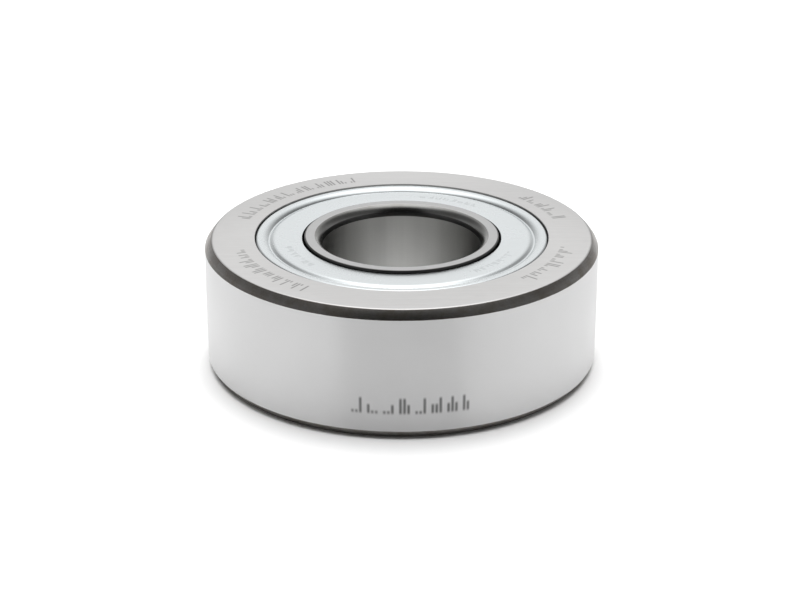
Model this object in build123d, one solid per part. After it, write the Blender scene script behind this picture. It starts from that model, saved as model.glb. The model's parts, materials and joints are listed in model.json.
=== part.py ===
from build123d import *
import os
from math import cos, radians, sin, sqrt

# Cam follower: a yoke-type track roller on a double-row angular contact ball bearing.
# A thick, crowned outer ring rolls on the cam. The one-piece inner ring is clamped on a pin.
# Two rows of balls in snap cages run between them, back to back, behind pressed steel shields.
# Frame: origin at the middle of the bore, +Z along the bore. Millimetres.
# The roller is the same on both sides of z = 0, so each section is drawn for z > 0 and mirrored.

# Boundary dimensions
BORE_D = 25.0
OUTSIDE_D = 62.0
WIDTH = 20.6                  # both rings are as wide as each other
CROWN_R = 500.0               # crown of the running surface, along the axis

# Ring corners, as turned before the faces were ground: legs, and how far the corner bulges
OUTSIDE_CORNER = (1.0, 1.35)  # radial leg, axial leg
BORE_CORNER = (0.9, 1.5)
CORNER_BULGE = 0.24
EDGE_BREAK = 0.12             # the outer ring's edge beside the shield
LAND_CORNER = 0.35            # the inner ring's edge beside the shield

# Balls and raceways
BALL_D = 7.144
BALLS_PER_ROW = 11
CONTACT_ANGLE = 25.0
RACE_CLEARANCE = 0.03         # from ball to raceway at the contact point
INNER_CONFORMITY = 0.52       # raceway radius over ball diameter
OUTER_CONFORMITY = 0.53
INNER_WALL = 3.15             # from the bore to the innermost point of the balls
INNER_SHOULDER = 1.30         # outboard shoulder of the inner raceway
INNER_MIDDLE = 0.75           # land between the inner raceways
OUTER_RIB = 1.40              # rib between the outer raceways
OUTER_LIP = 0.28              # low outboard shoulder, which the balls snap past

# Cages: crowns of moulded polyamide, with their backs outboard
POCKET_GAP = 0.13             # from ball to pocket
CAGE_BACK = 0.95              # wall behind the pockets
CAGE_INNER_GAP = 0.57         # radial, to the inner ring's shoulders
CAGE_OUTER_GAP = 0.47         # radial, to the outer ring's rib
CAGE_CORNER = 0.4
CLAW_REACH = 1.6              # how far the claws reach past the balls' centres
CLAW_SLOT = 1.25              # slot between two neighbouring claws
CLAW_SLOT_DEPTH = 3.6
CAGE_SHIELD_GAP = 0.35

# Shields: pressed steel sheet, rolled into a groove of the outer ring
SHEET = 0.4
SHIELD_RECESS = 0.35          # flat of the shield below the ring faces
SHIELD_GAP = 0.36             # radial gap round the inner ring
LAND_WALL = 2.9               # from the bore to the land that the shield runs round
LAND_DEPTH = 1.85             # axial length of that land
LAND_SLOPE = 0.5              # axial drop of the slope from that land out to the shoulder
LAND_SLOPE_BEND = 0.25
SEAT_STEP = 0.25              # from the outermost point of the balls to the shield's seat
BEAD_RECESS = 0.10            # top of the rim's bead below the ring faces
BEAD_WIDTH = 1.85
BEAD_FLANK = 0.65             # slope from the valley up to the bead
VALLEY_DEPTH = 0.35           # below the flat
VALLEY_WIDTH = 0.55
VALLEY_FLANK = 1.25           # slope from the flat down to the valley
RIM_GAP = 0.15                # from the rim to the wall of its seat
RIM_HEIGHT = 1.6              # from the bead's top to the underside of the rim's foot
RIM_BITE = 0.28               # how far the rim's foot spreads into the groove
RIM_GROOVE_GAP = 0.10
SHIELD_BENDS = [1.6, 0.35, 0.30, 0.75, 0.55, 0.25]  # on the upper side, from the flat outwards

# Places worked out from the sizes above
half_width = WIDTH / 2
bore_r = BORE_D / 2
outside_r = OUTSIDE_D / 2
ball_r = BALL_D / 2
tilt = radians(CONTACT_ANGLE)
pitch_r = bore_r + INNER_WALL + RACE_CLEARANCE + ball_r
flat_z = half_width - SHIELD_RECESS
cage_back_z = flat_z - VALLEY_DEPTH - SHEET - CAGE_SHIELD_GAP
row_z = cage_back_z - CAGE_BACK - POCKET_GAP - ball_r
seat_r = pitch_r + ball_r + SEAT_STEP
land_r = bore_r + LAND_WALL
shoulder_r = pitch_r - ball_r + INNER_SHOULDER
rib_r = pitch_r + ball_r - OUTER_RIB
cage_in_r = shoulder_r + CAGE_INNER_GAP
cage_out_r = rib_r - CAGE_OUTER_GAP
bead_z = half_width - BEAD_RECESS
rim_foot_z = bead_z - RIM_HEIGHT


def raceway(conformity, to_contact):
    """Centre and radius of a raceway's arc, which clears the balls least along to_contact."""
    radius = conformity * BALL_D
    back = radius - ball_r - RACE_CLEARANCE
    return pitch_r - back * to_contact[0], row_z - back * to_contact[1], radius


def raceway_arc(race, inboard_r, outboard_r, to_contact):
    """Arc of a raceway from its inboard shoulder radius to its outboard one, as an edge."""
    r, z, radius = race
    inboard = (inboard_r, z - sqrt(radius**2 - (inboard_r - r) ** 2))
    outboard = (outboard_r, z + sqrt(radius**2 - (outboard_r - r) ** 2))
    contact = (r + radius * to_contact[0], z + radius * to_contact[1])
    return ThreePointArc(inboard, contact, outboard)


def revolved(half):
    """Ring whose section is the half outline together with its mirror image below z = 0."""
    section = make_face(half + mirror(half, about=Plane.XZ))
    return revolve(Plane.XZ * section, Axis.Z)


def outer_ring():
    """Thick outer ring: crowned tread, two raceways with a rib between them, and two shield seats."""
    radial, axial = OUTSIDE_CORNER
    tread_end_z = half_width - axial
    tread_end_r = outside_r - CROWN_R + sqrt(CROWN_R**2 - tread_end_z**2)
    to_contact = (cos(tilt), -sin(tilt))
    lip_r = pitch_r + ball_r - OUTER_LIP
    groove_r = seat_r + RIM_BITE + RIM_GROOVE_GAP
    groove_top_z = rim_foot_z + SHEET + RIM_GROOVE_GAP

    crown_middle_z = tread_end_z / 2
    crown_middle_r = outside_r - CROWN_R + sqrt(CROWN_R**2 - crown_middle_z**2)
    crown = ThreePointArc((outside_r, 0), (crown_middle_r, crown_middle_z), (tread_end_r, tread_end_z))
    corner = SagittaArc((tread_end_r, tread_end_z), (outside_r - radial, half_width), -CORNER_BULGE)
    race = raceway(OUTER_CONFORMITY, to_contact)
    track = raceway_arc(race, rib_r, lip_r, to_contact)
    seat = Polyline(
        corner @ 1,
        (seat_r + EDGE_BREAK, half_width),
        (seat_r, half_width - EDGE_BREAK),
        (seat_r, groove_top_z + groove_r - seat_r),
        (groove_r, groove_top_z),
        (groove_r, rim_foot_z),
        (lip_r, rim_foot_z),
        track @ 1,
    )
    rib = Line(track @ 0, (rib_r, 0))
    return revolved(Curve() + [crown, corner, seat, track, rib])


def inner_ring():
    """One-piece inner ring: bore, two raceways with high outboard shoulders, and two shield lands."""
    radial, axial = BORE_CORNER
    to_contact = (-cos(tilt), sin(tilt))
    middle_r = pitch_r - ball_r + INNER_MIDDLE
    land_z = half_width - LAND_DEPTH

    bore = Line((bore_r, 0), (bore_r, half_width - axial))
    corner = SagittaArc(bore @ 1, (bore_r + radial, half_width), CORNER_BULGE)
    race = raceway(INNER_CONFORMITY, to_contact)
    track = raceway_arc(race, middle_r, shoulder_r, to_contact)
    face = Line(corner @ 1, (land_r - LAND_CORNER, half_width))
    edge = RadiusArc(face @ 1, (land_r, half_width - LAND_CORNER), LAND_CORNER)
    land = FilletPolyline(
        edge @ 1,
        (land_r, land_z),
        (shoulder_r, land_z - LAND_SLOPE),
        track @ 1,
        radius=LAND_SLOPE_BEND,
    )
    middle = Line(track @ 0, (middle_r, 0))
    return revolved(Curve() + [bore, corner, face, edge, land, track, middle])


def bent_sheet(upper_side, bends):
    """Section of a bent sheet, from its upper side's corners and their bend radii."""
    points = [Vector(*point) for point in upper_side]
    along = [(end - start).normalized() for start, end in zip(points, points[1:])]
    down = [Vector(leg.Y, -leg.X) for leg in along]
    under = [points[0] + down[0] * SHEET]
    under_bends = []
    for number, bend in enumerate(bends, start=1):
        before, after = down[number - 1], down[number]
        under.append(points[number] + (before + after) * (SHEET / (1 + before.dot(after))))
        turns_up = along[number - 1].cross(along[number]).Z > 0
        under_bends.append(bend + SHEET if turns_up else bend - SHEET)
    under.append(points[-1] + down[-1] * SHEET)
    top = FilletPolyline(*points, radius=bends)
    bottom = FilletPolyline(*under, radius=under_bends)
    return make_face(Curve() + [top, Line(top @ 1, bottom @ 1), bottom, Line(bottom @ 0, top @ 0)])


def shield():
    """Upper shield: a flat, a valley, and a beaded rim whose foot spreads into its groove."""
    rim_r = seat_r - RIM_GAP
    bead_in_r = rim_r - BEAD_WIDTH
    valley_z = flat_z - VALLEY_DEPTH
    foot_z = rim_foot_z + SHEET
    upper_side = [
        (land_r + SHIELD_GAP, flat_z),
        (bead_in_r - VALLEY_WIDTH - VALLEY_FLANK, flat_z),
        (bead_in_r - VALLEY_WIDTH, valley_z),
        (bead_in_r, valley_z),
        (bead_in_r + BEAD_FLANK, bead_z),
        (rim_r, bead_z),
        (rim_r, foot_z),
        (seat_r + RIM_BITE, foot_z),
    ]
    section = bent_sheet(upper_side, SHIELD_BENDS)
    return revolve(Plane.XZ * section, Axis.Z)


def ball_places(row):
    """Centres of a row's balls. The lower row, -1, is turned by half a pitch."""
    places = []
    for number in range(BALLS_PER_ROW):
        turn = radians(360 * (number + (0 if row > 0 else 0.5)) / BALLS_PER_ROW)
        places.append((pitch_r * cos(turn), pitch_r * sin(turn), row * row_z))
    return places


def cage():
    """Upper cage: a crown with a spherical pocket for each ball, and pairs of springy claws."""
    claw_z = row_z - CLAW_REACH
    depth = cage_out_r - cage_in_r
    height = cage_back_z - claw_z
    middle = Location(((cage_in_r + cage_out_r) / 2, (cage_back_z + claw_z) / 2))
    section = middle * RectangleRounded(depth, height, CAGE_CORNER)
    crown = revolve(Plane.XZ * section, Axis.Z)
    pockets = [Pos(*place) * Sphere(ball_r + POCKET_GAP) for place in ball_places(1)]
    slot_height = 2 * CLAW_SLOT_DEPTH
    slot = extrude(Plane.YZ * SlotOverall(slot_height, CLAW_SLOT, rotation=90), amount=depth)
    slots = []
    for number in range(BALLS_PER_ROW):
        between = 360 * (number + 0.5) / BALLS_PER_ROW
        slots.append(Rot(0, 0, between) * Pos(cage_in_r, 0, claw_z) * slot)
    return crown - pockets - slots


def lower(upper):
    """The same piece on the lower side, mirrored across the middle of the roller."""
    return mirror(upper, about=Plane.XY)


def main():
    half_pitch = 180 / BALLS_PER_ROW
    top_cage, top_shield = cage(), shield()
    pieces = {
        "outer_ring": outer_ring(),
        "inner_ring": inner_ring(),
        "shield_top": top_shield,
        "shield_bottom": lower(top_shield),
        "cage_top": top_cage,
        "cage_bottom": Rot(0, 0, half_pitch) * lower(top_cage),
    }
    for name, row in (("top", 1), ("bottom", -1)):
        for number, place in enumerate(ball_places(row), start=1):
            pieces[f"ball_{name}_{number:02d}"] = Pos(*place) * Sphere(ball_r)

    os.makedirs("parts", exist_ok=True)
    for name, piece in pieces.items():
        piece.label = name
        export_step(piece, f"parts/{name}.step")
    print(f"pitch radius {pitch_r:.3f}, rows at z = +-{row_z:.3f}, shield seat radius {seat_r:.3f}")


main()
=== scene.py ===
"""Looks of a yoke-type cam follower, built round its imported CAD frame.

The two rings and the two shields are modelled again here, finer than the frame's own meshes and with
finer corners and bends. The cages and the balls keep the frame's meshes. Everything is in metres, in the
frame's axes: the origin is the middle of the bore and +Z runs along it.
"""

import json
import logging
import math
from dataclasses import dataclass, field
from enum import Enum
from typing import Any, Callable, Iterable

import bmesh
import bpy
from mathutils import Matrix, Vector


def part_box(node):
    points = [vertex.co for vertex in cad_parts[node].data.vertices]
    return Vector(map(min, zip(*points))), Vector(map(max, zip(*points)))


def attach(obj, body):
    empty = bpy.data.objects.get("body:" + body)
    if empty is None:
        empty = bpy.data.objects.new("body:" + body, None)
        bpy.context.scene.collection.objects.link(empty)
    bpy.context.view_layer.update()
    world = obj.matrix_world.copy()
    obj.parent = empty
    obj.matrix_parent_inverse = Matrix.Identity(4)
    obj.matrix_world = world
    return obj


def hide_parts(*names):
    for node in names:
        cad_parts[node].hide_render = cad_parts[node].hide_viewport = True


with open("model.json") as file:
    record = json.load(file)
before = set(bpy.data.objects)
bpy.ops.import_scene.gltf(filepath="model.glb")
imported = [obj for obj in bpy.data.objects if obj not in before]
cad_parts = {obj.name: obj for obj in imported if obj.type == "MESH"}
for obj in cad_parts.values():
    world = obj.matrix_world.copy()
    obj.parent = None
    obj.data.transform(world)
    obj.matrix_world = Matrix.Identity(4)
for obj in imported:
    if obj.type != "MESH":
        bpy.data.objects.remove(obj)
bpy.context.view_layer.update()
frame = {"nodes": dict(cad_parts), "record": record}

log = logging.getLogger("cam_follower")

MM = 0.001
MICRON = 0.001 * MM
HALF_TURN = 180.0

Colour = tuple[float, float, float]
Station = tuple[float, float]
Span = tuple[float, float]


class Side(Enum):
    """The two sides of the roller. The value is the sign of z."""

    TOP = 1
    BOTTOM = -1


class Body(Enum):
    """The frame's bodies that pieces ride on."""

    INNER = "inner"
    OUTER = "outer"


class Slot(Enum):
    """The record's material slots."""

    RING = "ring_steel"
    SHIELD = "shield_steel"
    BALL = "ball_steel"
    CAGE = "cage_polyamide"


# --- Shader graphs ---


class Signal:
    """A shader socket that takes part in Python arithmetic, where each operator adds a Math node."""

    def __init__(self, graph: "Graph", socket: bpy.types.NodeSocket | None) -> None:
        """Wraps one output socket of a node in a graph."""
        self.graph = graph
        self.socket = socket

    def beside(self, output: str) -> "Signal":
        """Another output of the same node."""
        return Signal(self.graph, self.socket.node.outputs[output])

    def maths(self, operation: str, *values: "Signal | float") -> "Signal":
        """The result of a Math node on these values."""
        return self.graph.node("ShaderNodeMath", {"operation": operation}, dict(enumerate(values)))

    def __add__(self, other: "Signal | float") -> "Signal":
        """This plus other."""
        return self.maths("ADD", self, other)

    def __radd__(self, other: float) -> "Signal":
        """Other plus this."""
        return self.maths("ADD", other, self)

    def __sub__(self, other: "Signal | float") -> "Signal":
        """This minus other."""
        return self.maths("SUBTRACT", self, other)

    def __rsub__(self, other: float) -> "Signal":
        """Other minus this."""
        return self.maths("SUBTRACT", other, self)

    def __mul__(self, other: "Signal | float") -> "Signal":
        """This times other."""
        return self.maths("MULTIPLY", self, other)

    def __rmul__(self, other: float) -> "Signal":
        """Other times this."""
        return self.maths("MULTIPLY", other, self)

    def __truediv__(self, other: "Signal | float") -> "Signal":
        """This over other."""
        return self.maths("DIVIDE", self, other)

    def __rtruediv__(self, other: float) -> "Signal":
        """Other over this."""
        return self.maths("DIVIDE", other, self)

    def __mod__(self, other: "Signal | float") -> "Signal":
        """What is left of this after whole multiples of other, never negative."""
        return self.maths("FLOORED_MODULO", self, other)

    def __gt__(self, other: "Signal | float") -> "Signal":
        """1 where this is above other, else 0."""
        return self.maths("GREATER_THAN", self, other)

    def __lt__(self, other: "Signal | float") -> "Signal":
        """1 where this is below other, else 0."""
        return self.maths("LESS_THAN", self, other)

    def __abs__(self) -> "Signal":
        """This without its sign."""
        return self.maths("ABSOLUTE", self)

    def root(self) -> "Signal":
        """The square root of this."""
        return self.maths("SQRT", self)

    def whole(self) -> "Signal":
        """The whole number at or below this."""
        return self.maths("FLOOR", self)

    def step(self, low: float, high: float) -> "Signal":
        """A smooth step between two values of this.

        Args:
            low: Where the step is 0.
            high: Where the step is 1, which may be below low.

        Returns:
            The step.
        """
        down = high < low
        ends = {"From Min": min(low, high), "From Max": max(low, high)}
        ends |= {"To Min": float(down), "To Max": float(not down), "Value": self}
        return self.graph.node("ShaderNodeMapRange", {"interpolation_type": "SMOOTHSTEP"}, ends)

    def about_one(self, amount: float) -> "Signal":
        """A noise that runs from 0 to 1, as a factor that varies about 1 by up to amount."""
        return self * (2 * amount) + (1 - amount)


class Graph:
    """The node tree of one material or of the world."""

    def __init__(self, tree: bpy.types.NodeTree) -> None:
        """Empties a node tree and works on it."""
        tree.nodes.clear()
        self.tree = tree

    def node(
        self,
        kind: str,
        settings: dict[str, Any] | None = None,
        sockets: dict[str | int, Any] | None = None,
        output: str | int = 0,
    ) -> Signal:
        """Adds a node.

        Args:
            kind: The node's type, as Blender names it.
            settings: Attributes to set first.
            sockets: Values or signals for inputs, by name or number.
            output: The output to return.

        Returns:
            The node's output as a signal.
        """
        made = self.tree.nodes.new(kind)
        for name, value in (settings or {}).items():
            setattr(made, name, value)
        for key, value in (sockets or {}).items():
            if isinstance(value, Signal):
                self.tree.links.new(value.socket, made.inputs[key])
            else:
                made.inputs[key].default_value = value
        return Signal(self, made.outputs[output] if made.outputs else None)

    def mix(self, factor: Signal | float, first: Signal | Colour, second: Signal | Colour) -> Signal:
        """Mixes two colours.

        Args:
            factor: 0 gives the first colour and 1 the second.
            first: A colour or a colour signal.
            second: A colour or a colour signal.

        Returns:
            The mixed colour.
        """
        ends = {6: first, 7: second}
        ends = {key: end if isinstance(end, Signal) else (*end, 1.0) for key, end in ends.items()}
        return self.node("ShaderNodeMix", {"data_type": "RGBA"}, {0: factor} | ends, output=2)

    def scaled(self, colour: Signal | Colour, factor: Signal) -> Signal:
        """A colour times a factor."""
        return self.node("ShaderNodeVectorMath", {"operation": "SCALE"}, {0: colour, "Scale": factor})

    def noise(self, at: Signal, stretch: Colour, detail: float = 3.0, rough: float = 0.55) -> Signal:
        """Fractal noise.

        Args:
            at: The point, as a vector signal.
            stretch: Features per metre along each axis.
            detail: Octaves.
            rough: How much the finer octaves weigh.

        Returns:
            The noise, from 0 to 1.
        """
        placing = {"Vector": at, "Scale": stretch}
        spread = self.node("ShaderNodeMapping", {"vector_type": "POINT"}, placing)
        sockets = {"Vector": spread, "Scale": 1.0, "Detail": detail, "Roughness": rough}
        return self.node("ShaderNodeTexNoise", {"noise_dimensions": "3D"}, sockets)


@dataclass(frozen=True)
class Place:
    """Where a shaded point is on the roller: its position, its radius and its azimuth."""

    point: Signal
    height: Signal
    radius: Signal
    azimuth: Signal
    lathe: Signal

    @classmethod
    def on(cls, graph: Graph) -> "Place":
        """Reads the point from Object coordinates.

        Args:
            graph: The material's graph.

        Returns:
            The place. azimuth is in degrees, and lathe is the vector (radius, height, 0), which makes
            a noise run round the roller as lines.
        """
        point = graph.node("ShaderNodeTexCoord", output="Object")
        x = graph.node("ShaderNodeSeparateXYZ", {}, {"Vector": point}, output="X")
        y, height = x.beside("Y"), x.beside("Z")
        radius = (x * x + y * y).root()
        azimuth = x.maths("ARCTAN2", y, x) * math.degrees(1.0)
        lathe = graph.node("ShaderNodeCombineXYZ", {}, {"X": radius, "Y": height})
        return cls(point, height, radius, azimuth, lathe)


# --- Etched marks ---


@dataclass(frozen=True)
class TickCode:
    """A generic etched code, like the marks of a ruler: groups of three strokes, with no letters.

    The strokes stand on one edge of a band, either a band of the face between two radii, or a band of the
    running surface between two heights. Each is a third, two thirds or the whole of the band long.
    """

    arcs: tuple[tuple[float, float], ...]
    low: float
    high: float
    pitch: float
    fill: float = 0.50
    soft: float = 0.16
    lengths: int = 3
    group: int = 4
    seed: float = 3.0

    def mask(self, graph: Graph, azimuth: Signal, across: Signal) -> Signal:
        """Draws the strokes.

        Args:
            graph: The material's graph.
            azimuth: Azimuth in degrees.
            across: Radius or height in metres, which the band is measured along.

        Returns:
            1 on a stroke and 0 beside it.
        """
        column = (azimuth + HALF_TURN) / self.pitch
        number = column.whole()
        cell = graph.node("ShaderNodeCombineXYZ", {}, {"X": number, "Y": self.seed})
        chance = graph.node("ShaderNodeTexWhiteNoise", {"noise_dimensions": "2D"}, {"Vector": cell})
        length = ((chance * self.lengths).whole() + 1.0) / self.lengths
        half = self.fill / 2
        stroke = abs(column % 1.0 - 0.5).step(half + self.soft, half - self.soft)
        level = (across - self.low) / (self.high - self.low)
        foot = self.soft / 3
        reach = level.step(0.0, 2 * foot) * (level - length).step(0.0, -2 * foot)
        middle = (number + 0.5) * self.pitch - HALF_TURN
        within: Signal | float = 0.0
        for start, end in self.arcs:
            within = (middle > start) * (middle < end) + within
        return stroke * reach * ((number % self.group) > 0.5) * within


# --- Finishes ---


ALONG_AXIS = 0.25


@dataclass(frozen=True)
class Look:
    """What varies over a finish: its colour, its roughness and its relief in metres."""

    colour: Signal
    roughness: Signal
    relief: Signal
    depth: float


@dataclass(frozen=True)
class Finish:
    """A surface finish, which becomes a material when it is first used.

    Anisotropy draws a highlight out round the roller's axis, or, where turn is ALONG_AXIS, away from the
    axis on a face and along it on a round wall.
    """

    name: str
    tint: Colour
    roughness: float
    metallic: float = 1.0
    anisotropy: float = 0.0
    turn: float = 0.0
    specular: float = 0.5

    def material(self) -> bpy.types.Material:
        """The finish as a material, made once."""
        return bpy.data.materials.get(self.name) or self._made()

    def _made(self) -> bpy.types.Material:
        """Builds the material's nodes.

        Returns:
            The new material.
        """
        made = bpy.data.materials.new(self.name)
        made.use_nodes = True
        graph = Graph(made.node_tree)
        look = self.look(graph, Place.on(graph))
        normal = graph.node("ShaderNodeBump", {}, {"Height": look.relief, "Distance": look.depth})
        sockets = {
            "Base Color": look.colour,
            "Roughness": look.roughness,
            "Normal": normal,
            "Metallic": self.metallic,
            "Anisotropic": self.anisotropy,
            "Anisotropic Rotation": self.turn,
            "Specular IOR Level": self.specular,
        }
        shader = graph.node("ShaderNodeBsdfPrincipled", {}, sockets)
        graph.node("ShaderNodeOutputMaterial", {}, {"Surface": shader})
        return made

    def look(self, graph: Graph, place: Place) -> Look:
        """What varies over the surface. Each kind of finish has its own.

        Args:
            graph: The material's graph.
            place: Where the shaded point is.

        Returns:
            The look.
        """
        raise NotImplementedError


@dataclass(frozen=True)
class Etched(Finish):
    """A finish with etched codes, which darken and dull it."""

    codes: tuple[TickCode, ...] = ()
    code_shade: float = 0.50
    code_dulling: float = 0.15

    def etch(self, graph: Graph, azimuth: Signal, across: Signal, plain: Look) -> Look:
        """Adds the codes to a plain look.

        Args:
            graph: The material's graph.
            azimuth: Azimuth in degrees.
            across: Radius or height in metres, which the codes' bands are measured along.
            plain: The look without them.

        Returns:
            The look with them.
        """
        colour, rough = plain.colour, plain.roughness
        for code in self.codes:
            mask = code.mask(graph, azimuth, across)
            colour = graph.scaled(colour, 1 - mask * (1 - self.code_shade))
            rough = rough + mask * self.code_dulling
        return Look(colour, rough, plain.relief, plain.depth)


@dataclass(frozen=True)
class GroundFace(Etched):
    """A ring's face, ground flat between two discs: faint straight streaks, and etched codes."""

    depth: float = 0.4 * MICRON

    def look(self, graph: Graph, place: Place) -> Look:
        """Streaks along one direction over a soft mottle, and the codes.

        Args:
            graph: The material's graph.
            place: Where the shaded point is.

        Returns:
            The look.
        """
        streak = graph.noise(place.point, (70, 2400, 60), detail=2.0)
        crossed = graph.noise(place.point, (500, 3600, 60), detail=2.0)
        mottle = graph.noise(place.point, (420, 900, 60), detail=4.0)
        shade = streak.about_one(0.06) * crossed.about_one(0.04) * mottle.about_one(0.03)
        rough = streak.about_one(0.10) * self.roughness
        plain = Look(graph.scaled(self.tint, shade), rough, streak + crossed * 0.5, self.depth)
        return self.etch(graph, place.azimuth, place.radius, plain)


@dataclass(frozen=True)
class RunningSurface(Etched):
    """The superfinished tread: very fine lines round the roller, and one soft, wide code."""

    code_shade: float = 0.42
    code_dulling: float = 0.10
    depth: float = 0.15 * MICRON

    def look(self, graph: Graph, place: Place) -> Look:
        """Lines round the roller, a faint cloudiness, and the code.

        Args:
            graph: The material's graph.
            place: Where the shaded point is.

        Returns:
            The look.
        """
        line = graph.noise(place.lathe, (0, 5200, 0), detail=3.0)
        cloud = graph.noise(place.point, (90, 90, 60), detail=3.0)
        shade = line.about_one(0.012) * cloud.about_one(0.012)
        rough = cloud.about_one(0.08) * self.roughness
        plain = Look(graph.scaled(self.tint, shade), rough, line, self.depth)
        return self.etch(graph, place.azimuth, place.height, plain)


@dataclass(frozen=True)
class ScaledCorner(Finish):
    """A corner that was turned and hardened but never ground: thin brown scale over turning marks."""

    brown: Colour = (0.16, 0.13, 0.10)
    mottle: float = 0.25
    patches: Span = (0.35, 0.70)
    depth: float = 4.0 * MICRON

    def look(self, graph: Graph, place: Place) -> Look:
        """Turning marks, with patches of browner and of thinner scale.

        Args:
            graph: The material's graph.
            place: Where the shaded point is.

        Returns:
            The look.
        """
        turned = graph.noise(place.lathe, (5200, 5200, 0), detail=2.0)
        patch = graph.noise(place.point, (330, 330, 500), detail=5.0, rough=0.65)
        grain = graph.noise(place.point, (3800, 3800, 3800), detail=2.0)
        colour = graph.mix(patch.step(*self.patches), self.tint, self.brown)
        shade = turned.about_one(0.6 * self.mottle) * grain.about_one(self.mottle)
        rough = patch.about_one(0.18) * self.roughness
        return Look(graph.scaled(colour, shade), rough, turned + grain * 0.6, self.depth * self.mottle)


@dataclass(frozen=True)
class GroundBore(Finish):
    """The bore's wall, ground with lines round it, and lightly banded along it."""

    depth: float = 0.3 * MICRON

    def look(self, graph: Graph, place: Place) -> Look:
        """Fine lines round the bore and soft bands along it.

        Args:
            graph: The material's graph.
            place: Where the shaded point is.

        Returns:
            The look.
        """
        line = graph.noise(place.lathe, (0, 4200, 0), detail=3.0)
        band = graph.noise(place.point, (330, 330, 6), detail=4.0)
        colour = graph.scaled(self.tint, line.about_one(0.03) * band.about_one(0.16))
        rough = band.about_one(0.10) * self.roughness
        return Look(colour, rough, line, self.depth)


@dataclass(frozen=True)
class TurnedSteel(Finish):
    """Turned and hardened steel out of sight: grooves, lands and shoulders."""

    depth: float = 1.5 * MICRON

    def look(self, graph: Graph, place: Place) -> Look:
        """Even turning marks and a little scale.

        Args:
            graph: The material's graph.
            place: Where the shaded point is.

        Returns:
            The look.
        """
        turned = graph.noise(place.lathe, (4200, 4200, 0), detail=2.0)
        scale = graph.noise(place.point, (500, 500, 500), detail=4.0)
        colour = graph.scaled(self.tint, turned.about_one(0.10) * scale.about_one(0.10))
        return Look(colour, scale.about_one(0.12) * self.roughness, turned, self.depth)


@dataclass(frozen=True)
class LappedSteel(Finish):
    """Raceways and balls, lapped bright."""

    depth: float = 0.05 * MICRON

    def look(self, graph: Graph, place: Place) -> Look:
        """Almost nothing: hair-fine lines and a film of grease that dulls some patches.

        Args:
            graph: The material's graph.
            place: Where the shaded point is.

        Returns:
            The look.
        """
        line = graph.noise(place.point, (1500, 1500, 6000), detail=2.0)
        film = graph.noise(place.point, (380, 380, 380), detail=3.0)
        colour = graph.scaled(self.tint, line.about_one(0.02) * film.about_one(0.03))
        return Look(colour, film.about_one(0.45) * self.roughness, line, self.depth)


@dataclass(frozen=True)
class ZincSheet(Etched):
    """Zinc-plated pressed sheet: satin, faintly blue, with a fine even grain and etched codes."""

    code_shade: float = 0.74
    code_dulling: float = 0.12
    depth: float = 0.8 * MICRON

    def look(self, graph: Graph, place: Place) -> Look:
        """Grain, a soft cloudiness of the plating, and the codes.

        Args:
            graph: The material's graph.
            place: Where the shaded point is.

        Returns:
            The look.
        """
        grain = graph.noise(place.point, (2600, 2600, 2600), detail=3.0)
        cloud = graph.noise(place.point, (260, 260, 260), detail=3.0)
        drawn = graph.noise(place.lathe, (2600, 2600, 0), detail=2.0)
        shade = grain.about_one(0.02) * cloud.about_one(0.02) * drawn.about_one(0.012)
        rough = cloud.about_one(0.12) * self.roughness
        plain = Look(graph.scaled(self.tint, shade), rough, grain + drawn * 0.4, self.depth)
        return self.etch(graph, place.azimuth, place.radius, plain)


@dataclass(frozen=True)
class Polyamide(Finish):
    """Glass-filled polyamide, moulded: dark and matt, with flow marks and fibre specks."""

    fibres: Span = (0.62, 0.80)
    fibre_glint: float = 0.55
    depth: float = 3.0 * MICRON

    def look(self, graph: Graph, place: Place) -> Look:
        """Flow marks and specks.

        Args:
            graph: The material's graph.
            place: Where the shaded point is.

        Returns:
            The look.
        """
        flow = graph.noise(place.point, (240, 240, 700), detail=4.0)
        speck = graph.noise(place.point, (5200, 5200, 1600), detail=2.0)
        glint = speck.step(*self.fibres) * self.fibre_glint + 1.0
        colour = graph.scaled(self.tint, flow.about_one(0.16) * glint)
        return Look(colour, flow.about_one(0.10) * self.roughness, speck + flow, self.depth)


FACE_CODES = TickCode(
    arcs=((107, 165), (-165, -123), (15, 41), (-47, -12.5)),
    low=25.1 * MM,
    high=27.6 * MM,
    pitch=1.15,
)
SHIELD_CODES = TickCode(
    arcs=((48, 80), (-55, -21), (-167, -137)),
    low=17.6 * MM,
    high=18.9 * MM,
    pitch=1.05,
    seed=8.0,
)
TREAD_CODE = TickCode(
    arcs=((-104.8, -71.6),),
    low=-6.3 * MM,
    high=-3.2 * MM,
    pitch=1.10,
    fill=0.66,
    soft=0.30,
    seed=5.0,
)

OUTER_FACE = GroundFace(
    "ground_face_outer", (0.56, 0.555, 0.55), 0.32, anisotropy=0.6, codes=(FACE_CODES,)
)
INNER_FACE = GroundFace("ground_face_inner", (0.44, 0.44, 0.44), 0.34, anisotropy=0.3)
TREAD = RunningSurface(
    "running_surface",
    (0.685, 0.685, 0.685),
    0.45,
    anisotropy=0.9,
    turn=ALONG_AXIS,
    codes=(TREAD_CODE,),
)
CORNER = ScaledCorner(
    "scaled_corner", (0.285, 0.275, 0.265), 0.34, brown=(0.22, 0.20, 0.18), mottle=0.20
)
# The bore corner's band next to the face, drawn lighter than the scale below it: a painted highlight
# where the rounded corner turns up to the face.
CORNER_WITH_PAINTED_HIGHLIGHT = ScaledCorner(
    "tumbled_corner", (0.27, 0.27, 0.265), 0.24, brown=(0.24, 0.235, 0.225), mottle=0.06
)
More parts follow.
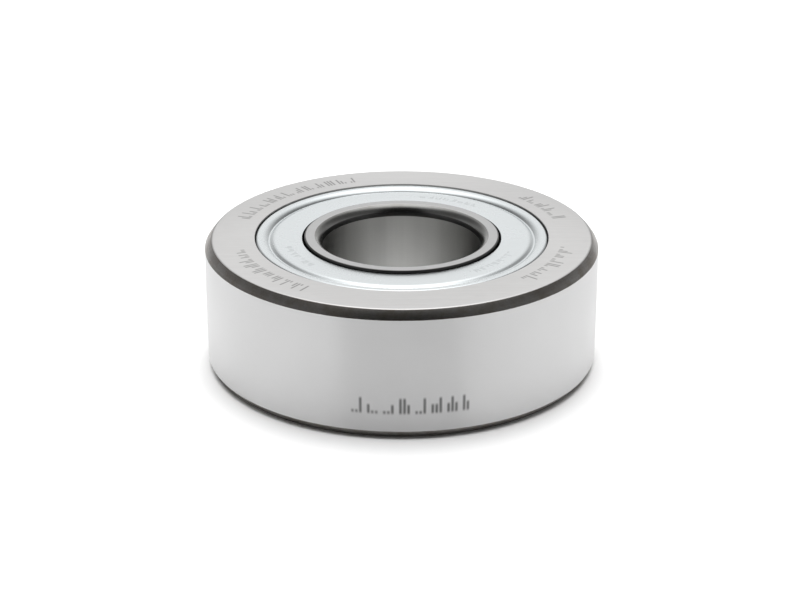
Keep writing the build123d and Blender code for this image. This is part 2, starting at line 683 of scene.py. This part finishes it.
# Corner scale made much darker where it lies in the bore and in the gap at the land: partly the real dark
# scale, partly painted shade.
SCALE_WITH_PAINTED_SHADE = ScaledCorner(
    "dark_scale", (0.095, 0.095, 0.095), 0.34, brown=(0.088, 0.086, 0.084), mottle=0.06
)
BORE = GroundBore("ground_bore", (0.53, 0.53, 0.52), 0.30, anisotropy=0.9, turn=ALONG_AXIS)
MACHINED = TurnedSteel("turned_steel", (0.34, 0.335, 0.33), 0.38)
LAPPED = LappedSteel("lapped_raceway", (0.66, 0.66, 0.66), 0.12)
BALL = LappedSteel("lapped_ball", (0.74, 0.74, 0.75), 0.10)
ZINC = ZincSheet("zinc_sheet", (0.64, 0.67, 0.68), 0.27, codes=(SHIELD_CODES,))
CAGE = Polyamide("cage_polyamide", (0.040, 0.044, 0.040), 0.52, metallic=0.0)


# --- Modelling ---


class Turning:
    """A round piece made loop by loop in edit mode, the way a lathe follows a section.

    The first loop is a circle. Each further station extrudes the last loop, moves it along the axis and
    scales it to its radius.
    """

    SEGMENTS = 320
    NEAR = 0.0004 * MM
    DOUBLE = 0.0001 * MM

    def __init__(self, name: str, start: Station) -> None:
        """Adds the first loop and stays in edit mode.

        Args:
            name: The piece's name.
            start: Radius and height of the first loop.
        """
        radius, height = start
        bpy.ops.object.select_all(action="DESELECT")
        bpy.ops.mesh.primitive_circle_add(
            vertices=self.SEGMENTS, radius=radius, location=(0, 0, height), fill_type="NOTHING"
        )
        self.piece = bpy.context.object
        self.piece.name = name
        bpy.ops.object.transform_apply(location=True, rotation=True, scale=True)
        bpy.ops.object.mode_set(mode="EDIT")
        bpy.ops.mesh.select_mode(type="EDGE")
        bpy.ops.mesh.select_all(action="SELECT")
        self.at = start

    def to(self, radius: float, height: float) -> None:
        """Extrudes the last loop to a new station.

        Args:
            radius: The station's radius.
            height: The station's height.
        """
        last_radius, last_height = self.at
        if math.hypot(radius - last_radius, height - last_height) < self.NEAR:
            return
        move = {"value": (0, 0, height - last_height)}
        bpy.ops.mesh.extrude_region_move(TRANSFORM_OT_translate=move)
        ratio = radius / last_radius
        bpy.ops.transform.resize(value=(ratio, ratio, 1), center_override=(0, 0, height))
        self.at = (radius, height)

    def along(self, stations: Iterable[Station]) -> None:
        """Extrudes through several stations."""
        for radius, height in stations:
            self.to(radius, height)

    def close(self) -> None:
        """Bridges the last loop back to the first, so that the piece is a closed ring."""
        bpy.ops.mesh.select_all(action="DESELECT")
        bpy.ops.mesh.select_non_manifold(extend=False, use_boundary=True)
        bpy.ops.mesh.bridge_edge_loops()

    def round_off(self, station: Station, setback: float, steps: int) -> None:
        """Bevels the loop at a station.

        Args:
            station: Radius and height of the loop.
            setback: How far the bevel reaches along each side.
            steps: Segments of the bevel.
        """
        bpy.ops.mesh.select_all(action="DESELECT")
        mesh = bmesh.from_edit_mesh(self.piece.data)
        for edge in mesh.edges:
            edge.select_set(all(self._is_at(vertex.co, station) for vertex in edge.verts))
        bmesh.update_edit_mesh(self.piece.data)
        bpy.ops.mesh.bevel(
            offset=setback, offset_type="OFFSET", segments=steps, profile=0.5, affect="EDGES"
        )

    def _is_at(self, point: Vector, station: Station) -> bool:
        """Whether a point lies on the loop at a station."""
        radius, height = station
        return abs(point.xy.length - radius) < self.NEAR and abs(point.z - height) < self.NEAR

    def thicken(self, sheet: float, outward: Side) -> None:
        """Turns the open surface into sheet, inwards from its outer side.

        Args:
            sheet: The sheet's thickness.
            outward: The side of the roller that the outer side faces.
        """
        bpy.ops.mesh.select_all(action="SELECT")
        bpy.ops.mesh.remove_doubles(threshold=self.DOUBLE)
        bpy.ops.mesh.normals_make_consistent(inside=False)
        bpy.ops.object.mode_set(mode="OBJECT")
        faces_up = self.piece.data.polygons[0].normal.z > 0
        if faces_up != (outward is Side.TOP):
            bpy.ops.object.mode_set(mode="EDIT")
            bpy.ops.mesh.flip_normals()
            bpy.ops.object.mode_set(mode="OBJECT")
        solidify = self.piece.modifiers.new("sheet", "SOLIDIFY")
        solidify.thickness = sheet
        solidify.offset = -1.0
        solidify.use_even_offset = True
        bpy.ops.object.modifier_apply(modifier=solidify.name)
        bpy.ops.object.mode_set(mode="EDIT")

    def finish(self, sharp_above: float = 28.0) -> bpy.types.Object:
        """Cleans the mesh and leaves edit mode.

        Args:
            sharp_above: Angle in degrees above which an edge is shaded sharp.

        Returns:
            The finished object.
        """
        bpy.ops.mesh.select_all(action="SELECT")
        bpy.ops.mesh.remove_doubles(threshold=self.DOUBLE)
        bpy.ops.mesh.normals_make_consistent(inside=False)
        bpy.ops.object.mode_set(mode="OBJECT")
        bpy.ops.object.shade_smooth_by_angle(angle=math.radians(sharp_above))
        return self.piece


def arc(centre: Station, start: Station, end: Station, steps: int) -> list[Station]:
    """Stations along the shorter circular arc from start to end, both included.

    Args:
        centre: The arc's centre, as radius and height.
        start: The first station.
        end: The last station.
        steps: How many chords the arc has.

    Returns:
        The stations.
    """
    radius = math.dist(centre, start)
    first = math.atan2(start[1] - centre[1], start[0] - centre[0])
    turn = math.remainder(math.atan2(end[1] - centre[1], end[0] - centre[0]) - first, 2 * math.pi)
    angles = [first + turn * step / steps for step in range(steps + 1)]
    return [(centre[0] + radius * math.cos(a), centre[1] + radius * math.sin(a)) for a in angles]


def bulged(start: Station, end: Station, bulge: float, steps: int) -> list[Station]:
    """Stations along a shallow arc over the chord from start to end.

    Args:
        start: The first station.
        end: The last station.
        bulge: How far the arc stands off its chord, to the left of the way from start to end.
        steps: How many chords the arc has.

    Returns:
        The stations.
    """
    half = math.dist(start, end) / 2
    radius = (half**2 + bulge**2) / (2 * abs(bulge))
    back = math.copysign(radius - abs(bulge), bulge)
    along = ((end[0] - start[0]) / (2 * half), (end[1] - start[1]) / (2 * half))
    middle = ((start[0] + end[0]) / 2, (start[1] + end[1]) / 2)
    centre = (middle[0] + along[1] * back, middle[1] - along[0] * back)
    return arc(centre, start, end, steps)


def mirrored(stations: list[Station]) -> list[Station]:
    """Stations on the lower side, in the order that continues round the section."""
    return [(radius, -height) for radius, height in reversed(stations)]


Zone = tuple[Finish, Callable[[float, float, Vector], bool]]


def dress(piece: bpy.types.Object, zones: Iterable[Zone]) -> None:
    """Gives each face the first finish whose test it passes.

    Args:
        piece: The piece to dress.
        zones: Finishes, each with a test of a face's radius, height and normal.
    """
    zones = list(zones)
    mesh = piece.data
    mesh.materials.clear()
    for finish, _ in zones:
        mesh.materials.append(finish.material())
    for polygon in mesh.polygons:
        radius, height = polygon.center.xy.length, polygon.center.z
        for number, (_, belongs) in enumerate(zones):
            if belongs(radius, height, polygon.normal):
                polygon.material_index = number
                break


def hand_over(piece: bpy.types.Object, body: Body, node: str) -> None:
    """Puts a finished piece on its body, in place of its node of the frame.

    Args:
        piece: The finished piece.
        body: The body that it rides on.
        node: The node that it stands for.
    """
    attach(piece, body.value)
    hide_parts(node)
    faces = len(piece.data.polygons)
    log.info("%s: %d faces, stands for %s on %s", piece.name, faces, node, body.value)


def mount(name: str) -> dict[str, Any]:
    """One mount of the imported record, by name."""
    return next(item for item in frame["record"]["mounts"] if item["name"] == name)


# --- The roller's sizes ---


@dataclass(frozen=True)
class Bearing:
    """Sizes that the pieces share."""

    bore: float
    outside: float
    half_width: float
    pitch: float
    ball: float
    row: float
    rim_foot: float
    contact_angle: float = math.radians(25.0)
    clearance: float = 0.03 * MM
    track_chords: int = 14

    @classmethod
    def from_frame(cls) -> "Bearing":
        """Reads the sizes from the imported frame's mounts and boxes.

        Returns:
            The sizes.
        """
        low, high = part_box("ball_top_01")
        return cls(
            bore=mount("bore")["dims"]["r_mm"] * MM,
            outside=mount("running_surface")["pos_m"][0],
            half_width=mount("inner_face_top")["pos_m"][2],
            pitch=(low.x + high.x) / 2,
            ball=(high.z - low.z) / 2,
            row=(low.z + high.z) / 2,
            rim_foot=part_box("shield_top")[0].z,
        )

    def raceway(
        self, conformity: float, outward: int, inboard: float, outboard: float
    ) -> list[Station]:
        """Stations of an upper raceway, from its inboard shoulder to its outboard one.

        Args:
            conformity: The raceway's radius over the ball's diameter.
            outward: 1 for the outer ring's raceway and -1 for the inner ring's.
            inboard: Radius of the inboard shoulder.
            outboard: Radius of the outboard shoulder.

        Returns:
            The stations.
        """
        radius = conformity * 2 * self.ball
        back = (radius - self.ball - self.clearance) * outward
        centre_r = self.pitch - back * math.cos(self.contact_angle)
        centre_z = self.row + back * math.sin(self.contact_angle)
        start = (inboard, centre_z - math.sqrt(radius**2 - (inboard - centre_r) ** 2))
        end = (outboard, centre_z + math.sqrt(radius**2 - (outboard - centre_r) ** 2))
        return arc((centre_r, centre_z), start, end, self.track_chords)


# --- The pieces ---


@dataclass
class OuterRing:
    """The thick outer ring: ground faces, dark corners, crowned tread, raceways and shield seats."""

    bearing: Bearing
    crown: float = 500 * MM
    corner_leg: float = 1.2 * MM
    corner_rise: float = 1.38 * MM
    corner_bulge: float = 0.06 * MM
    edge_break: float = 0.06 * MM
    face_edge: float = 0.24 * MM
    rib_step: float = 1.40 * MM
    lip_step: float = 0.28 * MM
    seat_step: float = 0.25 * MM
    groove_bite: float = 0.38 * MM
    groove_top: float = 0.50 * MM
    conformity: float = 0.53
    tread_heights: tuple[float, ...] = (6.6 * MM, 4.4 * MM, 2.2 * MM)
    corner_chords: int = 12
    edge_steps: int = 3
    track_tilt: float = 0.05
    piece: bpy.types.Object = field(init=False)

    def build(self) -> None:
        """Models the ring."""
        bearing = self.bearing
        outermost = bearing.pitch + bearing.ball
        seat, groove = outermost + self.seat_step, outermost + self.seat_step + self.groove_bite
        lip, rib = outermost - self.lip_step, outermost - self.rib_step
        floor = bearing.rim_foot
        half = bearing.half_width
        roof = floor + self.groove_top
        face_out = (bearing.outside - self.corner_leg, half)
        face_tread = self._tread(half - self.corner_rise)
        corner = bulged(face_out, face_tread, self.corner_bulge, self.corner_chords)
        track = bearing.raceway(self.conformity, 1, rib, lip)
        upper = [
            *track,
            (lip, floor),
            (groove, floor),
            (groove, roof),
            (seat, roof + groove - seat),
            (seat, half - self.edge_break),
            (seat + self.edge_break, half),
            face_out,
            *corner[1:],
            *[self._tread(height) for height in self.tread_heights],
        ]
        turning = Turning("outer_ring_turned", (rib, 0.0))
        turning.along(upper)
        turning.to(*self._tread(0.0))
        turning.along(mirrored(upper))
        turning.close()
        for side in Side:
            turning.round_off((face_out[0], half * side.value), self.face_edge, self.edge_steps)
        self.piece = turning.finish()

    def _tread(self, height: float) -> Station:
        """The station of the crowned tread at a height."""
        return self.bearing.outside - self.crown + math.sqrt(self.crown**2 - height**2), height

    def dress(self) -> None:
        """Gives each zone of the ring its finish."""
        half, outside = self.bearing.half_width, self.bearing.outside
        face_out = outside - self.corner_leg
        outermost = self.bearing.pitch + self.bearing.ball
        race_top = self.bearing.row + self.bearing.ball
        edge = self.face_edge / 2
        dress(
            self.piece,
            [
                (OUTER_FACE, lambda r, z, n: abs(z) > half - edge and r > outermost),
                (CORNER, lambda r, z, n: r > face_out - edge and abs(z) > half - self.corner_rise),
                (TREAD, lambda r, z, n: r > face_out),
                (LAPPED, lambda r, z, n: abs(z) < race_top and abs(n.z) > self.track_tilt),
                (MACHINED, lambda r, z, n: True),
            ],
        )
        hand_over(self.piece, Body.OUTER, "outer_ring")


@dataclass
class InnerRing:
    """The one-piece inner ring: bore, dark bore corners (a painted highlight next to the face, painted
    shade below it), faces, shield lands and raceways.
    """

    bearing: Bearing
    corner_leg: float = 1.25 * MM
    corner_rise: float = 1.70 * MM
    corner_bulge: float = 0.34 * MM
    # How far below the face the bore corner's painted highlight reaches.
    painted_highlight_depth: float = 0.90 * MM
    face_edge: float = 0.06 * MM
    land: float = 15.32 * MM
    land_corner: float = 0.22 * MM
    land_depth: float = 1.85 * MM
    land_slope: float = 0.5 * MM
    land_bend: float = 0.25 * MM
    shoulder_step: float = 1.30 * MM
    middle_step: float = 0.75 * MM
    conformity: float = 0.52
    corner_chords: int = 12
    land_chords: int = 6
    edge_steps: int = 3
    bend_steps: int = 4
    track_tilt: float = 0.03
    piece: bpy.types.Object = field(init=False)

    def build(self) -> None:
        """Models the ring."""
        bearing = self.bearing
        half = bearing.half_width
        innermost = bearing.pitch - bearing.ball
        middle, shoulder = innermost + self.middle_step, innermost + self.shoulder_step
        land_z = half - self.land_depth
        bore_end = (bearing.bore, half - self.corner_rise)
        face_in = (bearing.bore + self.corner_leg, half)
        face_end = (self.land - self.land_corner, half)
        land_top = (self.land, half - self.land_corner)
        corner_centre = (self.land - self.land_corner, half - self.land_corner)
        track = bearing.raceway(self.conformity, -1, middle, shoulder)
        upper = [
            *bulged(bore_end, face_in, self.corner_bulge, self.corner_chords),
            *arc(corner_centre, face_end, land_top, self.land_chords),
            (self.land, land_z),
            (shoulder, land_z - self.land_slope),
            *reversed(track),
        ]
        turning = Turning("inner_ring_turned", (bearing.bore, 0.0))
        turning.along(upper)
        turning.to(middle, 0.0)
        turning.along(mirrored(upper))
        turning.close()
        for side in Side:
            sign = side.value
            slope_end = (land_z - self.land_slope) * sign
            turning.round_off((face_in[0], half * sign), self.face_edge, self.edge_steps)
            turning.round_off((self.land, land_z * sign), self.land_bend, self.bend_steps)
            turning.round_off((shoulder, slope_end), self.land_bend, self.bend_steps)
        self.piece = turning.finish()

    def dress(self) -> None:
        """Gives each zone of the ring its finish."""
        half, bore = self.bearing.half_width, self.bearing.bore
        corner_end = bore + self.corner_leg
        race_top = self.bearing.row + self.bearing.ball
        edge = self.face_edge / 2
        land_edge_in = self.land - self.land_corner
        dress(
            self.piece,
            [
                # The land's rounded edge and wall, down in the gap under the shield, get the darkened
                # scale: painted shade.
                (SCALE_WITH_PAINTED_SHADE, lambda r, z, n: r > land_edge_in and abs(z) > half - self.land_depth),
                (INNER_FACE, lambda r, z, n: abs(z) > half - edge),
                # The bore corner's band next to the face is drawn lighter: painted highlight.
                (CORNER_WITH_PAINTED_HIGHLIGHT, lambda r, z, n: r < corner_end and abs(z) > half - self.painted_highlight_depth),
                # Deeper down, the bore corner gets the darkened scale: painted shade.
                (SCALE_WITH_PAINTED_SHADE, lambda r, z, n: r < corner_end and abs(z) > half - self.corner_rise),
                (BORE, lambda r, z, n: r < corner_end),
                (LAPPED, lambda r, z, n: abs(z) < race_top and abs(n.z) > self.track_tilt),
                (MACHINED, lambda r, z, n: True),
            ],
        )
        hand_over(self.piece, Body.INNER, "inner_ring")


@dataclass
class Shield:
    """A pressed shield: a flat, a step down to a narrow valley, and a beaded rim with a spread foot."""

    bearing: Bearing
    side: Side
    sheet: float = 0.4 * MM
    inner: float = 15.66 * MM
    edge_roll: float = 0.08 * MM
    recess: float = 0.35 * MM
    bead_recess: float = 0.10 * MM
    bead_width: float = 2.02 * MM
    bead_flank: float = 0.57 * MM
    valley_depth: float = 0.35 * MM
    valley_width: float = 0.22 * MM
    valley_flank: float = 0.62 * MM
    rim_gap: float = 0.10 * MM
    rim_bite: float = 0.28 * MM
    seat_step: float = 0.25 * MM
    bends: tuple[float, ...] = (1.1 * MM, 0.30 * MM, 0.12 * MM, 1.70 * MM, 0.45 * MM, 0.25 * MM)
    bend_steps: int = 8
    roll_steps: int = 4
    sharp_above: float = 40.0
    piece: bpy.types.Object = field(init=False)

    def build(self) -> None:
        """Models the sheet's outer side, bends it, thickens it, and rolls the edge of its hole."""
        corners = self._corners()
        turning = Turning(f"shield_{self.side.name.lower()}_pressed", corners[0])
        turning.along(corners[1:])
        for number, bend in enumerate(self.bends, start=1):
            setback = bend * self._half_turn(corners, number)
            turning.round_off(corners[number], setback, self.bend_steps)
        turning.thicken(self.sheet, self.side)
        turning.round_off(corners[0], self.edge_roll, self.roll_steps)
        self.piece = turning.finish(self.sharp_above)

    def _corners(self) -> list[Station]:
        """The corners of the sheet's outer side before bending.

        Returns:
            The corners, from the inner edge outwards.
        """
        sign = self.side.value
        half = self.bearing.half_width
        seat = self.bearing.pitch + self.bearing.ball + self.seat_step
        rim = seat - self.rim_gap
        bead_in = rim - self.bead_width
        flat, bead = half - self.recess, half - self.bead_recess
        valley = flat - self.valley_depth
        foot = self.bearing.rim_foot + self.sheet
        upper = [
            (self.inner, flat),
            (bead_in - self.valley_width - self.valley_flank, flat),
            (bead_in - self.valley_width, valley),
            (bead_in, valley),
            (bead_in + self.bead_flank, bead),
            (rim, bead),
            (rim, foot),
            (seat + self.rim_bite, foot),
        ]
        return [(radius, height * sign) for radius, height in upper]

    @staticmethod
    def _half_turn(corners: list[Station], number: int) -> float:
        """The tangent of half the turn at a corner, which is a bend's setback over its radius."""
        before, here, after = (Vector(corner) for corner in corners[number - 1 : number + 2])
        return math.tan((here - before).angle(after - here) / 2)

    def dress(self) -> None:
        """Plates the shield."""
        dress(self.piece, [(ZINC, lambda r, z, n: True)])
        hand_over(self.piece, Body.OUTER, f"shield_{self.side.name.lower()}")


@dataclass
class BallRow:
    """One row of balls and its cage, which keep the frame's meshes."""

    side: Side

    def dress(self) -> None:
        """Gives the row's nodes their finishes."""
        name = self.side.name.lower()
        for node, piece in frame["nodes"].items():
            if node.startswith(f"ball_{name}"):
                self._cover(piece, BALL, Slot.BALL)
            elif node == f"cage_{name}":
                self._cover(piece, CAGE, Slot.CAGE)

    @staticmethod
    def _cover(piece: bpy.types.Object, finish: Finish, slot: Slot) -> None:
        """Gives every material slot of a node one finish.

        Args:
            piece: The node.
            finish: Its finish.
            slot: The record's material slot that it belongs to; not used.
        """
        for place in piece.material_slots:
            place.material = finish.material()
        log.info("%s: keeps its mesh, finish %s", piece.name, finish.name)


# --- The studio ---


@dataclass
class Studio:
    """A plain pale floor, a soft band of white light from behind and overhead, and the camera.

    The room's light depends on its direction. A span is a pair of values that a smooth step runs between,
    from 0 to 1. Azimuths are from the front, tilts run from the front's horizon over the top to the
    back's, and rises are above the horizon, all in degrees.
    """

    floor_height: float
    floor_size: float = 6.0
    floor_tint: Colour = (0.92, 0.92, 0.92)
    elevation: float = math.radians(23.09)
    distance: float = 331.9 * MM
    target: tuple[float, float, float] = (-0.257 * MM, 0.0, -0.982 * MM)
    sensor: float = 36.0
    focal_widths: float = 2.6
    nearest: float = 0.01
    backdrop: float = 1.0
    room: float = 0.45
    sweep: float = 1.08
    overhead: float = 1.25
    band_width: Span = (0.60, 0.12)
    band_tilt: Span = (62.0, 106.0)
    overhead_tilt: Span = (150.0, 110.0)
    front_azimuth: Span = (46.0, 30.0)
    front_dimming: float = 0.9
    high_rise: Span = (12.0, 34.0)
    high_dimming: float = 0.6
    lamp_place: tuple[float, float, float] = (0.0, 0.1, 0.8)
    lamp_size: float = 0.9
    lamp_power: float = 10.0
    card_tint: Colour = (0.84, 0.84, 0.84)
    card_reach: tuple[float, float] = (30.5 * MM, 300.0 * MM)
    card_half_widths: tuple[float, float] = (10.0 * MM, 206.0 * MM)
    card_lift: float = 0.05 * MM
    paper_grain: Colour = (300, 300, 300)
    paper_contrast: float = 0.004
    paper_roughness: float = 0.9

    def build(self) -> None:
        """Sets up the floor, the light and the camera."""
        self._floor()
        self._card()
        self._room()
        self._lamp()
        self._camera()

    def _floor(self) -> None:
        """Adds the floor that the roller lies on."""
        place = (0, 0, self.floor_height)
        floor = self._sheet("floor", self.floor_size, place, "floor_paper", self.floor_tint)

    def _card(self) -> None:
        """Lays a grey card before the roller, seen by polished steel and by nothing else."""
        card = self._sheet("grey_card", 1.0, (0, 0, 0), "card_paper", self.card_tint)
        near, far = self.card_reach
        near_half, far_half = self.card_half_widths
        height = self.floor_height + self.card_lift
        corners = ((-far_half, -far), (far_half, -far), (-near_half, -near), (near_half, -near))
        for corner, (x, y) in zip(card.data.vertices, corners):
            corner.co = (x, y, height)
        card.visible_camera = card.visible_diffuse = card.visible_shadow = False

    def _sheet(
        self, name: str, size: float, place: tuple[float, ...], paper: str, tint: Colour
    ) -> bpy.types.Object:
        """Adds a flat sheet of matt paper with a faint grain.

        Args:
            name: The sheet's name.
            size: Length of its sides.
            place: Its middle.
            paper: Its material's name.
            tint: Its colour.

        Returns:
            The sheet.
        """
        bpy.ops.object.select_all(action="DESELECT")
        bpy.ops.mesh.primitive_plane_add(size=size, location=place)
        sheet = bpy.context.object
        sheet.name = name
        made = bpy.data.materials.new(paper)
        made.use_nodes = True
        graph = Graph(made.node_tree)
        point = graph.node("ShaderNodeTexCoord", output="Object")
        grain = graph.noise(point, self.paper_grain).about_one(self.paper_contrast)
        sockets = {"Base Color": graph.scaled(tint, grain), "Roughness": self.paper_roughness}
        shader = graph.node("ShaderNodeBsdfPrincipled", {}, sockets)
        graph.node("ShaderNodeOutputMaterial", {}, {"Surface": shader})
        sheet.data.materials.append(made)
        return sheet

    def _room(self) -> None:
        """Makes the world a studio: a white band from back to overhead, dim sides, a dark front."""
        world = bpy.data.worlds.new("studio")
        bpy.context.scene.world = world
        world.use_nodes = True
        graph = Graph(world.node_tree)
        way = graph.node("ShaderNodeTexCoord", output="Generated")
        x = graph.node("ShaderNodeSeparateXYZ", {}, {"Vector": way}, output="X")
        front, z = x.beside("Y") * -1.0, x.beside("Z")
        azimuth = abs(x.maths("ARCTAN2", x, front) * math.degrees(1.0))
        tilt = x.maths("ARCTAN2", z, front) * math.degrees(1.0)
        band = abs(x).step(*self.band_width) * tilt.step(*self.band_tilt)
        band_level = tilt.step(*self.overhead_tilt) * self.overhead + self.sweep
        rise = x.maths("ARCSINE", z) * math.degrees(1.0)
        dimmed = 1 - azimuth.step(*self.front_azimuth) * self.front_dimming
        room_level = dimmed * (1 - rise.step(*self.high_rise) * self.high_dimming) * self.room
        seen = graph.node("ShaderNodeLightPath", output="Is Camera Ray")
        light = band * band_level + (1 - band) * room_level
        strength = seen * self.backdrop + (1 - seen) * light
        sockets = {"Color": (1.0, 1.0, 1.0, 1.0), "Strength": strength}
        background = graph.node("ShaderNodeBackground", {}, sockets)
        graph.node("ShaderNodeOutputWorld", {}, {"Surface": background})

    def _lamp(self) -> None:
        """Hangs a wide soft lamp over the floor, which polished steel doesn't mirror."""
        bpy.ops.object.select_all(action="DESELECT")
        bpy.ops.object.light_add(type="AREA", location=self.lamp_place)
        lamp = bpy.context.object
        lamp.name = "soft_lamp"
        lamp.data.size = self.lamp_size
        lamp.data.energy = self.lamp_power
        lamp.visible_glossy = False
        lamp.visible_camera = False

    def _camera(self) -> None:
        """Places the camera and makes it the scene's."""
        away = Vector((0, -math.cos(self.elevation), math.sin(self.elevation)))
        data = bpy.data.cameras.new("camera")
        data.lens = self.sensor * self.focal_widths
        data.sensor_width = self.sensor
        data.clip_start = self.nearest
        camera = bpy.data.objects.new("camera", data)
        bpy.context.scene.collection.objects.link(camera)
        camera.location = Vector(self.target) + away * self.distance
        camera.rotation_euler = (math.pi / 2 - self.elevation, 0, 0)
        bpy.context.scene.camera = camera
        bpy.context.scene.view_settings.view_transform = "Standard"


def main() -> None:
    """Builds the studio and every piece, and reports each."""
    logging.basicConfig(level=logging.INFO, format="%(name)s: %(message)s")
    bearing = Bearing.from_frame()
    Studio(floor_height=-bearing.half_width).build()
    turned = [OuterRing(bearing), InnerRing(bearing), *(Shield(bearing, side) for side in Side)]
    for part in turned:
        part.build()
        part.dress()
    for side in Side:
        BallRow(side).dress()


if __name__ == "__main__":
    main()
